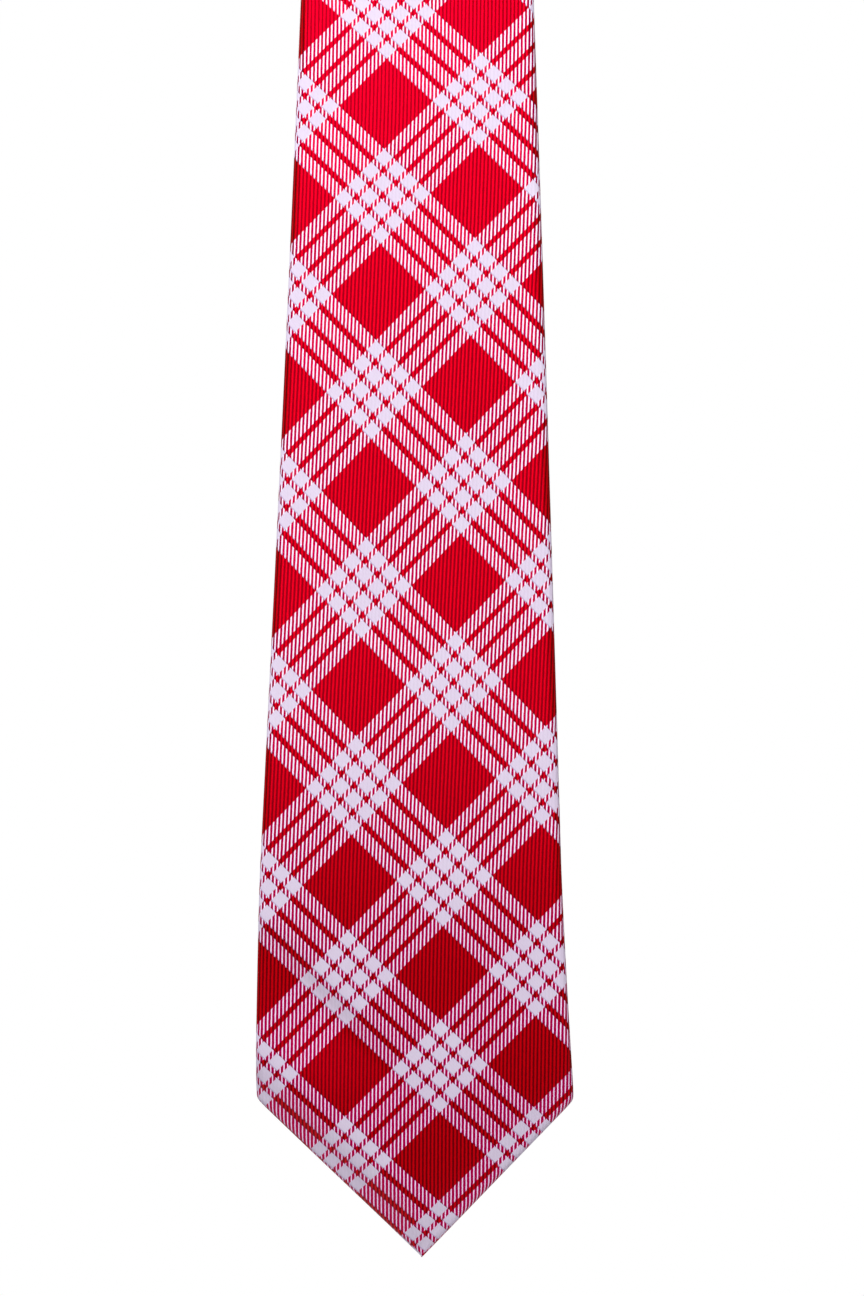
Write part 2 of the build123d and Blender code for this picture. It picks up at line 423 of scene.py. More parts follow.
def back_cloth(panel, s, x, flat, arc):
    """Where the cloth on the back lies when it is unfolded: (u, s) for places on the +X side.

    Above a blade's corner it unfolds over the straight side, and in the point over the sloping edge.
    """
    u = flat + arc + flat - x
    if not isinstance(panel, Blade):
        return u, s
    rise = panel.rise(s)
    in_point = rise < panel.half
    round_edge = POINT_EDGE_TURN / math.sqrt(2)
    return np.where(in_point, rise + round_edge, u), np.where(in_point, panel.s_at(x - round_edge), s)


def shell_section(panel, s, column):
    """One column of the shell's cross-section: (x, n) and where its cloth lies unfolded, (u, s)."""
    region, t = column
    half = panel.half_width(s)
    thin = TIP_THIN + (1 - TIP_THIN) * smooth(half / TIP_THIN_REACH)
    thick = HALF_THICK * thin
    in_point = panel.point_share(s)
    fold = np.minimum(thick * (1 + (math.sqrt(2) - 1) * in_point), half)
    flat = half - fold
    arc = math.pi * np.sqrt((fold**2 + thick**2) / 2)
    over, under = panel.flap_edges(s)
    over = np.minimum(over, flat)
    under = np.maximum(under, -flat)
    crown = CROWN * smooth(half / CROWN_REACH)
    if region == "face":
        x = flat * (1 - 2 * t)
        return x, thick + crown * (1 - (1 - 2 * t) ** 2), x, s
    if region == "over":
        x = over + (flat - over) * t
        return x, -thick, *back_cloth(panel, s, x, flat, arc)
    if region == "under":
        x = -flat + (under + flat) * t
        beneath = smooth((x - LAP_EDGE + LAP_DIP_START) / LAP_DIP_EASE)
        dip = LAP_DIP * beneath * smooth((UNDERLAP * 0.4 + under) / UNDERLAP)
        u, cloth_s = back_cloth(panel, s, -x, flat, arc)
        return x, -thick + dip, -u, cloth_s
    side = 1 if region == "right" else -1
    to_back = 1 - t if side > 0 else t
    angle = math.pi * (0.5 - to_back)
    u, cloth_s = back_cloth(panel, s, flat, flat, arc)
    slide = np.where(in_point > 0, fold * math.cos(angle) / 2, 0.0)
    u = flat + (u - flat) * to_back + slide
    cloth_s = s + (cloth_s - s) * to_back + panel.up * slide
    return side * (flat + fold * math.cos(angle)), thick * math.sin(angle), side * u, cloth_s


def spaced(count, ease=False):
    t = np.linspace(0, 1, count)
    return t**1.5 if ease else t


COLUMNS = (
    [("over", t) for t in spaced(BACK_COLUMNS, True)[:-1]]
    + [("right", t) for t in spaced(FOLD_COLUMNS)[:-1]]
    + [("face", t) for t in spaced(FRONT_COLUMNS)[:-1]]
    + [("left", t) for t in spaced(FOLD_COLUMNS)[:-1]]
    + [("under", t) for t in 1 - spaced(BACK_COLUMNS, True)[::-1]]
)


def shell_piece(name, node, part, panel, rows, seams):
    """A panel of shell cloth, folded to the back along both sides. seams are (s, slant, reach)."""

    def grid(s):
        parts = [shell_section(panel, s[:, j], column) for j, column in enumerate(COLUMNS)]
        return [np.stack([np.broadcast_to(p[k], len(rows)) for p in parts], 1) for k in range(4)]

    base = np.repeat(rows[:, None], len(COLUMNS), 1)
    u = grid(base)[2]
    s = base.copy()
    for seam_s, slant, reach in seams:
        s += slant * u * np.clip(1 - np.abs(base - seam_s) / reach, 0, 1)
    x, n, u, cloth_s = grid(s)
    for seam_s, slant, _ in seams:
        from_seam = (s - seam_s - slant * u) / math.sqrt(2)
        n = n - np.sign(n) * SEAM_DIP * np.exp(-((from_seam / SEAM_WIDTH) ** 2))
    piece = new_object(name, place(x, s, n), grid_faces(*x.shape), plaid(u, cloth_s, part))
    weld(piece)
    solidify(piece, CLOTH).use_even_offset = True
    dress(piece, "shell_plaid", node)
    bend(piece)


def make_shells():
    front_seam = (FRONT_SEAM_S, 1.0, SEAM_REACH)
    neck_front_seam = (FRONT_SEAM_S, 1.0, APEX_S - FRONT_SEAM_S)
    tail_seam = (TAIL_SEAM_S, -1.0, SEAM_REACH)
    corner = FRONT.half
    front_rows = steps(
        (0, 8, 0.8), (8, corner - 4, 1.8), (corner - 4, corner + 4, 0.5), (corner + 4, 160, 2.0),
        (160, FRONT_SEAM_S - 100, 3.5), (FRONT_SEAM_S - 100, FRONT_SEAM_S - 4, 2.0),
        (FRONT_SEAM_S - 4, FRONT_SEAM_S, 0.5),
    )
    neck_front_rows = steps((FRONT_SEAM_S, FRONT_SEAM_S + 4, 0.5), (FRONT_SEAM_S + 4, APEX_S, 1.2))
    neck_rear_rows = steps(
        (APEX_S, APEX_S + 20, 1.2), (APEX_S + 20, TAIL_SEAM_S - 4, 2.0),
        (TAIL_SEAM_S - 4, TAIL_SEAM_S, 0.5),
    )
    tip = TIE_LENGTH
    corner = TAIL.half
    tail_rows = steps(
        (TAIL_SEAM_S, TAIL_SEAM_S + 4, 0.5), (TAIL_SEAM_S + 4, tip - 160, 3.0),
        (tip - 160, tip - corner - 4, 2.0), (tip - corner - 4, tip - corner + 4, 0.5),
        (tip - corner + 4, tip - 8, 1.6), (tip - 8, tip, 0.8),
    )
    neck = Neck()
    shell_piece("front_shell_cloth", "front_shell", "front", FRONT, front_rows, [front_seam])
    shell_piece("neck_shell_cloth_front", "neck_shell", "neck", neck, neck_front_rows, [neck_front_seam])
    shell_piece("neck_shell_cloth_rear", "neck_shell", "neck", neck, neck_rear_rows, [tail_seam])
    shell_piece("tail_shell_cloth", "tail_shell", "tail", TAIL, tail_rows, [tail_seam])


# ---- flat layers inside the tie
def layer_piece(name, panel, rows, heights, inset, point_inset=0.0, seams=(), billow=0.0):
    """A flat layer that follows a panel's outline, drawn in by inset, and more in the point.

    heights are where its two faces lie.
    """
    low_n, high_n = heights
    across = np.linspace(1, -1, LAYER_COLUMNS)[None, :]
    base = np.repeat(rows[:, None], LAYER_COLUMNS, 1)
    half = np.maximum(panel.half_width(base) - inset - point_inset * panel.point_share(base), 0.0)
    s = base.copy()
    for seam_s, slant, reach in seams:
        s += slant * half * across * np.clip(1 - np.abs(base - seam_s) / reach, 0, 1)
    half = np.maximum(panel.half_width(s) - inset - point_inset * panel.point_share(s), 0.0)
    x = half * across
    waves = billow * np.sin(s / 9.0 + x / 14.0) * np.cos(x / 11.0 + 0.8)
    n = (low_n + high_n) / 2 + waves
    piece = new_object(name, place(x, s, n), grid_faces(*x.shape), np.stack([x, s], -1))
    weld(piece)
    solidify(piece, high_n - low_n, offset=0)
    return piece, grid_area(x, s)


def grid_area(x, s):
    """The flat area, in square metres, of a layer whose columns are at x and rows at s."""
    widths = np.abs(x[:, 0] - x[:, -1])
    lengths = np.abs(np.gradient(s.mean(1)))
    return float((widths * lengths).sum()) * MM**2


def make_interlinings():
    low = INTERLINING_TIP
    front_bend = FRONT_SEAM_S - SEAM_REACH
    front_rows = steps((low, 125, 1.5), (125, front_bend, 6), (front_bend, FRONT_SEAM_S - 0.2, 3))
    tip = TIE_LENGTH - low
    tail_bend = TAIL_SEAM_S + SEAM_REACH
    tail_rows = steps((TAIL_SEAM_S + 0.2, tail_bend, 3), (tail_bend, tip - 30, 8), (tip - 30, tip, 2))
    ease = SEAM_EASE
    neck_front = steps((FRONT_SEAM_S + ease, APEX_S, 1.5))
    neck_rear = steps((APEX_S, APEX_S + 20, 1.5), (APEX_S + 20, TAIL_SEAM_S - ease, 4))
    front_seam = [(FRONT_SEAM_S, 1.0, SEAM_REACH)]
    neck_front_seam = [(FRONT_SEAM_S + ease, 1.0, APEX_S - FRONT_SEAM_S - ease)]
    tail_seam = [(TAIL_SEAM_S, -1.0, SEAM_REACH)]
    neck = Neck()
    plans = [
        ("front_interlining_wool", FRONT, front_rows, front_seam, "front_interlining"),
        ("neck_interlining_wool_front", neck, neck_front, neck_front_seam, "neck_interlining"),
        ("neck_interlining_wool_rear", neck, neck_rear, tail_seam, "neck_interlining"),
        ("tail_interlining_wool", TAIL, tail_rows, tail_seam, "tail_interlining"),
    ]
    for name, panel, rows, seams, node in plans:
        piece, area = layer_piece(
            name, panel, rows, INTERLINING, INTERLINING_INSET, INTERLINING_POINT_INSET, seams
        )
        dress(piece, "interlining_wool", node)
        bend(piece)


def make_tippings():
    for blade in (FRONT, TAIL):
        low = TIPPING_TIP
        rises = steps((low, blade.half + 6, 1.0), (blade.half + 6, blade.tack_rise, 2.5))
        rows = blade.s_at(rises)
        if blade.up < 0:
            rows = rows[::-1]
        piece, area = layer_piece(
            f"{blade.name}_tipping_satin", blade, rows, TIPPING, TIPPING_INSET, billow=TIPPING_BILLOW
        )
        dress(piece, "tipping_satin", f"{blade.name}_tipping")
        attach(piece, BODY_OF[blade.name])


# ---- threads
STITCH_POINTS = 7
TACK_TURNS = 22
HEM_PITCH = 3.4
HEM_OUT = 0.75
HEM_IN = 0.45
HEM_SLANT = 0.25
SLIP_STITCH_LENGTH = 8.0
SEAM_PITCH = 2.2
SEAM_STITCH_SHARE = 0.82
SEAM_RISE = 1.0
SEAM_DEPTH = 1.30


def tube_mesh(paths, radius, sides):
    """Vertices, faces and (round, along) pairs of tubes that follow paths, in metres, with round ends."""
    vertices, faces, uvs = [], [], []
    for path in paths:
        path = np.asarray(path, float)
        tangent = np.gradient(path, axis=0)
        tangent /= np.linalg.norm(tangent, axis=1)[:, None]
        side = np.cross(tangent[0], (0.31, 0.87, 0.38))
        frames = []
        for t in tangent:
            side = side - t * np.dot(side, t)
            side /= np.linalg.norm(side)
            frames.append((side.copy(), np.cross(t, side)))
        travelled = np.concatenate([[0], np.cumsum(np.linalg.norm(np.diff(path, axis=0), axis=1))])
        rings = [(path[0] - tangent[0] * radius * 0.6, 0.45, frames[0], 0.0)]
        rings += [(p, 1.0, f, d) for p, f, d in zip(path, frames, travelled)]
        rings += [(path[-1] + tangent[-1] * radius * 0.6, 0.45, frames[-1], travelled[-1])]
        start = len(vertices)
        for centre, share, (one, other), along in rings:
            for k in range(sides):
                angle = 2 * math.pi * k / sides
                spoke = one * math.cos(angle) + other * math.sin(angle)
                vertices.append(centre + spoke * radius * share)
                uvs.append((k / sides, along / MM))
        count = len(rings)
        for i in range(count - 1):
            for k in range(sides):
                a = start + i * sides + k
                b = start + i * sides + (k + 1) % sides
                faces.append((a, b, b + sides, a + sides))
        faces.append(tuple(start + k for k in reversed(range(sides))))
        faces.append(tuple(start + (count - 1) * sides + k for k in range(sides)))
    return vertices, faces, uvs


def thread_piece(name, paths, radius, slot="thread_red", sides=8):
    """A piece made of lengths of thread, each a path of points in metres."""
    vertices, faces, uvs = tube_mesh(paths, radius * MM, sides)
    piece = new_object(name, vertices, faces, uvs)
    piece.data.materials.append(LOOKS[slot])
    return piece


def stitch(a, b, arch):
    """A short thread from place a to place b, both (x, s, n), standing off by arch in its middle."""
    t = np.linspace(0, 1, STITCH_POINTS)
    a, b = np.array(a, float), np.array(b, float)
    route = a + (b - a) * t[:, None]
    lift = arch * np.sin(np.pi * t)
    return place(route[:, 0], route[:, 1], route[:, 2] + lift)


def make_bar_tacks():
    """A close coil of thread across the laps, over three straight core threads."""
    turns = TACK_TURNS
    for blade in (FRONT, TAIL):
        low, high = box_mm(f"{blade.name}_bar_tack")
        t = np.linspace(0, 1, turns * 14)
        jitter = RANDOM.normal(0, 0.05, turns + 1)
        wobble = np.interp(t * turns, np.arange(turns + 1), jitter)
        x = low[0] + 0.2 + (high[0] - low[0] - 0.4) * t
        rise = blade.tack_rise + 1.0 + 1.05 * np.cos(2 * np.pi * turns * t) + wobble
        n = -HALF_THICK - 0.02 + 0.42 * np.sin(2 * np.pi * turns * t)
        coil = place(x, blade.s_at(rise), n)
        core = []
        for offset in (-0.55, 0.0, 0.55):
            s = blade.s_at(blade.tack_rise + 1 + offset)
            left = (low[0] - 0.2, s, -HALF_THICK + 0.1)
            right = (high[0] + 0.2, s, -HALF_THICK + 0.1)
            core.append(stitch(left, right, -0.15))
        piece = thread_piece(f"{blade.name}_bar_tack_loops", [coil, *core], 0.2)
        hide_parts(f"{blade.name}_bar_tack")
        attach(piece, BODY_OF[blade.name])


def make_hem_threads():
    """Slanted prick stitches that hold both sides of the hem to the tipping."""
    step = HEM_PITCH / math.sqrt(2)
    for blade in (FRONT, TAIL):
        low = HEM * math.sqrt(2)
        count = int(blade.window_half / step)
        paths = []
        for sign in (-1, 1):
            for k in range(1, count):
                x = k * step
                outer_s = blade.s_at(low + x - HEM_OUT + HEM_SLANT)
                inner_s = blade.s_at(low + x + HEM_IN - HEM_SLANT)
                outer = (sign * (x + HEM_OUT + HEM_SLANT), outer_s, -HALF_THICK - 0.02)
                inner = (sign * (x - HEM_IN - HEM_SLANT), inner_s, TIPPING[0] - 0.19)
                paths.append(stitch(outer, inner, -0.28))
        piece = thread_piece(f"{blade.name}_hem_stitches", paths, 0.14)
        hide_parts(f"{blade.name}_hem_thread")
        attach(piece, BODY_OF[blade.name])


def running_thread(name, s_start, s_end, node):
    """One slack thread that zigzags between the two laps of the back seam."""
    length = abs(s_end - s_start)
    count = int(length / 0.9)
    t = np.linspace(0, 1, count)
    s = s_start + (s_end - s_start) * t
    turns = np.pi * length * t / SLIP_STITCH_LENGTH
    x = 1.0 + 0.9 * np.sin(turns)
    n = -HALF_THICK + 0.48 + 0.03 * np.cos(2 * turns)
    piece = thread_piece(name, [place(x, s, n)], 0.12, sides=6)
    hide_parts(node)
    bend(piece)


def make_slip_stitches():
    front_start = FRONT.s_at(FRONT.tack_rise + 2)
    tail_end = TAIL.s_at(TAIL.tack_rise + 2)
    plans = [
        ("front_slip_stitch_thread", front_start, FRONT_SEAM_S - SEAM_EASE + 1, "front_slip_stitch"),
        ("neck_slip_stitch_thread_front", FRONT_SEAM_S + SEAM_EASE + 1, APEX_S, "neck_slip_stitch"),
        ("neck_slip_stitch_thread_rear", APEX_S, TAIL_SEAM_S - SEAM_EASE - 1, "neck_slip_stitch"),
        ("tail_slip_stitch_thread", TAIL_SEAM_S + SEAM_EASE - 1, tail_end, "tail_slip_stitch"),
    ]
    for plan in plans:
        running_thread(*plan)


def make_seam_threads():
    """The line of machine stitches that joins the gusset to each blade, just inside the face."""
    step = SEAM_PITCH / math.sqrt(2)
    half = NECK_HALF - INTERLINING_INSET
    for blade, seam_s, slant in [(FRONT, FRONT_SEAM_S, 1.0), (TAIL, TAIL_SEAM_S, -1.0)]:
        paths = []
        for x in np.arange(-half, half, step):
            x_end = min(x + SEAM_STITCH_SHARE * step, half)
            start = (x, seam_s + slant * (x + SEAM_RISE), SEAM_DEPTH)
            end = (x_end, seam_s + slant * (x_end + SEAM_RISE), SEAM_DEPTH)
            paths.append(stitch(start, end, 0.12))
        piece = thread_piece(f"{blade.name}_seam_stitches", paths, 0.17)
        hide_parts(f"{blade.name}_seam_thread")
        bend(piece)


# ---- keeper loop and labels
EDGE_COLUMNS = 7
CORNER_STEPS = 8
KEEPER_CLOTH = 0.8
KEEPER_STITCHES = 11
CARE_STITCHES = 13
LABEL_INSET = 1.25
LABEL_PITCH = 2.4
TAPE_CORNER = 1.2


def band_piece(name, path_x, path_n, half_height, s_middle, thickness):
    """A flat band of folded cloth that follows a path across the tie, with rounded long edges."""
    path_x, path_n = np.asarray(path_x, float), np.asarray(path_n, float)
    direction = np.stack([np.gradient(path_x), np.gradient(path_n)], 1)
    direction /= np.linalg.norm(direction, axis=1)[:, None]
    outward = np.stack([direction[:, 1], -direction[:, 0]], 1)
    r = thickness / 2
    section = []
    for angle in np.linspace(-math.pi / 2, math.pi / 2, EDGE_COLUMNS):
        section.append((half_height - r + r * math.cos(angle), r * math.sin(angle)))
    for y in np.linspace(half_height - r, -half_height + r, 11)[1:-1]:
        section.append((y, r + 0.06 * math.cos(math.pi * y / (2 * half_height))))
    for angle in np.linspace(math.pi / 2, 3 * math.pi / 2, EDGE_COLUMNS):
        section.append((-half_height + r + r * math.cos(angle), r * math.sin(angle)))
    for y in np.linspace(-half_height + r, half_height - r, 11)[1:-1]:
        section.append((y, -r - 0.06 * math.cos(math.pi * y / (2 * half_height))))
    section = np.array(section)
    x = path_x[:, None] + outward[:, 0:1] * section[None, :, 1]
    n = path_n[:, None] + outward[:, 1:2] * section[None, :, 1]
    s = s_middle + np.repeat(section[None, :, 0], len(path_x), 0)
    travelled = np.concatenate([[0], np.cumsum(np.hypot(np.diff(path_x), np.diff(path_n)))])
    u = np.repeat(travelled[:, None], len(section), 1)
    wrap = np.concatenate([[0], np.cumsum(np.linalg.norm(np.diff(section, axis=0), axis=1))])
    cloth = plaid(u, s_middle + wrap[None, :] + 0 * u, "keeper")
    faces = grid_faces(len(path_x), len(section), closed=True)
    count = len(section)
    faces.append(tuple(range(count)))
    last = (len(path_x) - 1) * count
    faces.append(tuple(last + k for k in reversed(range(count))))
    return new_object(name, place(x, s, n), faces, cloth)


def rounded_corners(points, radius):
    """A path through the points, with each inner corner turned on an arc-like curve."""
    points = [np.array(p, float) for p in points]
    path = [points[0]]
    for before, corner, after in zip(points, points[1:], points[2:]):
        back = (before - corner) / np.linalg.norm(before - corner)
        ahead = (after - corner) / np.linalg.norm(after - corner)
        reach = min(radius, np.linalg.norm(before - corner) / 2.1, np.linalg.norm(after - corner) / 2.1)
        for t in np.linspace(0, 1, CORNER_STEPS):
            a = corner + back * reach * (1 - t)
            b = corner + ahead * reach * t
            path.append(a + (b - a) * t)
    path.append(points[-1])
    return np.array(path)


def make_keeper():
    low, high = box_mm("keeper_loop")
    s_middle = FRONT_LENGTH + (low[2] + high[2]) / 2
    half_height = (high[2] - low[2]) / 2
    rise = high[1] - low[1]
    cloth = KEEPER_CLOTH
    foot = high[0]
    base = -HALF_THICK - cloth / 2 - 0.02
    top = -HALF_THICK - rise + cloth / 2
    shoulder = foot - 6.5
    corners = [(foot, base), (foot - 1.6, base - 0.1), (shoulder, top), (-shoulder, top),
               (-foot + 1.6, base - 0.1), (-foot, base)]
    path = rounded_corners(corners, 5.0)
    dense = []
    for a, b in zip(path, path[1:]):
        pieces = max(1, int(np.linalg.norm(b - a) / 1.5))
        dense += [a + (b - a) * k / pieces for k in range(pieces)]
    dense.append(path[-1])
    dense = np.array(dense)
    sag = 0.35 * np.cos(np.pi * np.clip(dense[:, 0] / shoulder, -1, 1) / 2)
    piece = band_piece("keeper_loop_band", dense[:, 0], dense[:, 1] + sag, half_height, s_middle, cloth)
    dress(piece, "shell_plaid", "keeper_loop")
    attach(piece, "front_blade")
    paths = []
    for sign in (-1, 1):
        for y in np.linspace(-half_height + 0.8, half_height - 0.8, KEEPER_STITCHES):
            skew = 0.25 * RANDOM.normal()
            inner = (sign * (foot - 1.3), s_middle + y + skew, base - cloth / 2 + 0.02)
            outer = (sign * (foot + 1.3), s_middle + y + 0.3, -HALF_THICK + 0.05)
            paths.append(stitch(inner, outer, -0.3))
    tacks = thread_piece("keeper_tack_stitches", paths, 0.17)
    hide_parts("keeper_tacks")
    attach(tacks, "front_blade")


def tape_piece(name, node, thickness, pillow, lift=0.0):
    """A woven tape label: a thin slab with soft edges, a little proud between its stitches."""
    low, high = box_mm(node)
    half_x = (high[0] - low[0]) / 2
    half_z = (high[2] - low[2]) / 2
    s_middle = FRONT_LENGTH + (low[2] + high[2]) / 2
    columns, rows = 49, 33
    a = np.linspace(1, -1, columns)[None, :]
    b = np.linspace(-1, 1, rows)[:, None]
    near_corner = np.clip(1 - (1 - np.abs(b)) * half_z / TAPE_CORNER, 0, 1)
    inset_x = TAPE_CORNER * (1 - np.sqrt(1 - near_corner**2))
    x = (half_x - 0.15 * inset_x) * a
    s = s_middle + half_z * b + 0 * a
    dome = (1 - np.abs(a) ** 6) * (1 - np.abs(b) ** 6)
    ripple = 0.05 * np.sin(x / 3.1 + 0.7) * np.sin(s / 4.3)
    n = -HALF_THICK - thickness - lift - pillow * dome + ripple * dome
    piece = new_object(name, place(x, s, n), [f[::-1] for f in grid_faces(rows, columns)],
                       np.stack(np.broadcast_arrays(x, s - s_middle), -1))
    solidify(piece, thickness)
    dress(piece, "label_tape" if node == "blank_label" else "care_tape", node)
    return piece, (half_x, half_z, s_middle)


def make_labels():
    label, (half_x, half_z, s_middle) = tape_piece("blank_label_tape", "blank_label", 0.3, 0.12)
    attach(label, "front_blade")
    n = -HALF_THICK - 0.32
    reach = np.array([half_x - LABEL_INSET, half_z - LABEL_INSET])
    ways = ((-1, -1), (1, -1), (1, 1), (-1, 1))
    corners = [np.array([0, s_middle]) + reach * way for way in ways]
    paths = []
    for a, b in zip(corners, corners[1:] + corners[:1]):
        count = round(np.linalg.norm(b - a) / LABEL_PITCH)
        for k in range(count):
            start = a + (b - a) * (k + 0.08) / count
            end = a + (b - a) * (k + 0.88) / count
            paths.append(stitch((*start, n), (*end, n), -0.16))
    stitches = thread_piece("label_stitches", paths, 0.15, "thread_white")
    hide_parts("label_stitching")
    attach(stitches, "front_blade")

    care, (_, half_z, s_middle) = tape_piece("care_label_tape", "care_label", 0.22, 0.0, lift=0.1)
    top = s_middle + half_z
    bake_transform(care)
    low, high = box_mm("care_label_tack")
    paths = []
    for x in np.linspace(low[0] + 0.6, high[0] - 0.6, CARE_STITCHES):
        start = (x - 0.25, top - 0.6, -HALF_THICK - 0.36)
        end = (x + 0.25, top + 1.1, -HALF_THICK + 0.02)
        paths.append(stitch(start, end, -0.22))
    tack = thread_piece("care_label_tack_stitches", paths, 0.15, "thread_white")
    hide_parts("care_label_tack")
    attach(tack, "front_blade")


# ---- materials
class Nodes:
    """Short ways to add and join a material's nodes."""

    def __init__(self, name):
        self.material = bpy.data.materials.new(name)
        self.material.use_nodes = True
        self.tree = self.material.node_tree
        self.shader = self.tree.nodes["Principled BSDF"]

    def add(self, kind, **settings):
        node = self.tree.nodes.new(kind)
        for key, value in settings.items():
            setattr(node, key, value)
        return node

    def put(self, value, socket):
        """Joins an output to a socket, or sets the socket's own value."""
        if isinstance(value, bpy.types.NodeSocket):
            self.tree.links.new(value, socket)
        else:
            socket.default_value = value

    def math(self, operation, *values):
        node = self.add("ShaderNodeMath", operation=operation)
        for value, socket in zip(values, node.inputs):
            self.put(value, socket)
        return node.outputs[0]

    def plus(self, a, b):
        return self.math("ADD", a, b)

    def minus(self, a, b):
        return self.math("SUBTRACT", a, b)

    def times(self, a, b):
        return self.math("MULTIPLY", a, b)

    def ramp(self, value, low, high):
        """0 at low, 1 at high, eased between."""
        node = self.add("ShaderNodeMapRange", interpolation_type="SMOOTHSTEP")
        self.put(value, node.inputs["Value"])
        self.put(low, node.inputs["From Min"])
        self.put(high, node.inputs["From Max"])
        return node.outputs["Result"]

    def mix(self, share, a, b, blend_type="MIX"):
        """Colour a at share 0, colour b at share 1."""
        node = self.add("ShaderNodeMix", data_type="RGBA", blend_type=blend_type)
        self.put(share, node.inputs["Factor"])
        self.put(a, node.inputs[6])
        self.put(b, node.inputs[7])
        return node.outputs[2]

    def multiply(self, a, b):
        return self.mix(1.0, a, b, "MULTIPLY")

    def wave(self, turns):
        """A sine of so many turns, from 0 to 1."""
        sine = self.math("SINE", self.times(turns, 2 * math.pi))
        return self.math("MULTIPLY_ADD", sine, 0.5, 0.5)

    def uv(self):
        node = self.add("ShaderNodeUVMap", uv_map="cloth")
        split = self.add("ShaderNodeSeparateXYZ")
        self.put(node.outputs[0], split.inputs[0])
        return split.outputs[0], split.outputs[1]

    def noise(self, scale, detail=3.0):
        """Noise from 0 to 1 over the object's own space, scale in bumps per metre."""
        node = self.add("ShaderNodeTexNoise")
        self.put(self.add("ShaderNodeTexCoord").outputs["Object"], node.inputs["Vector"])
        self.put(scale, node.inputs["Scale"])
        self.put(detail, node.inputs["Detail"])
        return node.outputs["Fac"]

    def bump(self, height, distance, strength=1.0, under=None):
        node = self.add("ShaderNodeBump")
        self.put(height, node.inputs["Height"])
        self.put(distance, node.inputs["Distance"])
        self.put(strength, node.inputs["Strength"])
        if under is not None:
            self.put(under, node.inputs["Normal"])
        return node.outputs["Normal"]

    def finish(self, **inputs):
        for name, value in inputs.items():
            self.put(value, self.shader.inputs[name.replace("_", " ")])
        return self.material


BAND_HALF = 0.2515
LINE_PITCH = 0.1377
LINE_HALF = 0.0200
TWILL_PER_REPEAT = 50.0
EDGE_BLUR = 0.0025
STRIPE_SHADOW = 0.0062

RED_RIB = (0.50, 0.0, 0.0, 1)
# Painted shade: the red darkens to this in the grooves between the twill ribs.
RED_GROOVE_SHADE = (0.06, 0.0, 0.0, 1)
RED_HATCH = (0.26, 0.0, 0.05, 1)
WHITE_FLOAT = (0.90, 0.82, 1.0, 1)
WHITE_WEAVE = (0.70, 0.64, 0.77, 1)
# Painted shade: the white squares darken to this in the grooves between their picks.
WHITE_GROOVE_SHADE = (0.52, 0.34, 0.54, 1)
RED_GLOSS = (1.0, 0.0, 0.035, 1)
GROOVE_GLOSS = (0.62, 0.0, 0.02, 1)
WHITE_GLOSS = (0.9, 0.9, 1.0, 1)
RED_SHADOW = (0.16, 0.12, 0.2, 1)
WHITE_SHADOW = (0.62, 0.55, 0.74, 1)

# Painted shade: low on the wide blade the hatch is drawn redder, its floats narrower and pinker, standing
# in for the shade that falls there.
PAINTED_SHADE_REPEATS = (3.0, 5.4)
PAINTED_SHADE_NARROWING = 0.12
PAINTED_SHADE_FLOAT = (0.93, 0.72, 1.0, 1)
PAINTED_SHADE_HATCH = (0.34, 0.0, 0.07, 1)

# Fine ribs of the white squares: turns in one repeat of the weft, and of the warp.
PICKS_PER_WEFT = 95.0
PICKS_PER_WARP = 38.0

# Where on a rib's wave, from 0 to 1, the floats of each family begin, and where they are full.
WEFT_FLOAT = (0.60, 0.76)
WARP_FLOAT = (0.40, 0.24)


def white_share(nodes, phase):
    """1 on a stripe family's white bands, 0 on its red ground and its three thin red lines."""
    off = nodes.math("ABSOLUTE", nodes.minus(nodes.math("FRACT", phase), 0.5))
    band = nodes.ramp(off, BAND_HALF + EDGE_BLUR, BAND_HALF - EDGE_BLUR)
    middle = nodes.ramp(off, LINE_HALF - EDGE_BLUR, LINE_HALF + EDGE_BLUR)
    from_line = nodes.math("ABSOLUTE", nodes.minus(off, LINE_PITCH))
    side = nodes.ramp(from_line, LINE_HALF - EDGE_BLUR, LINE_HALF + EDGE_BLUR)
    return nodes.times(band, nodes.times(middle, side))


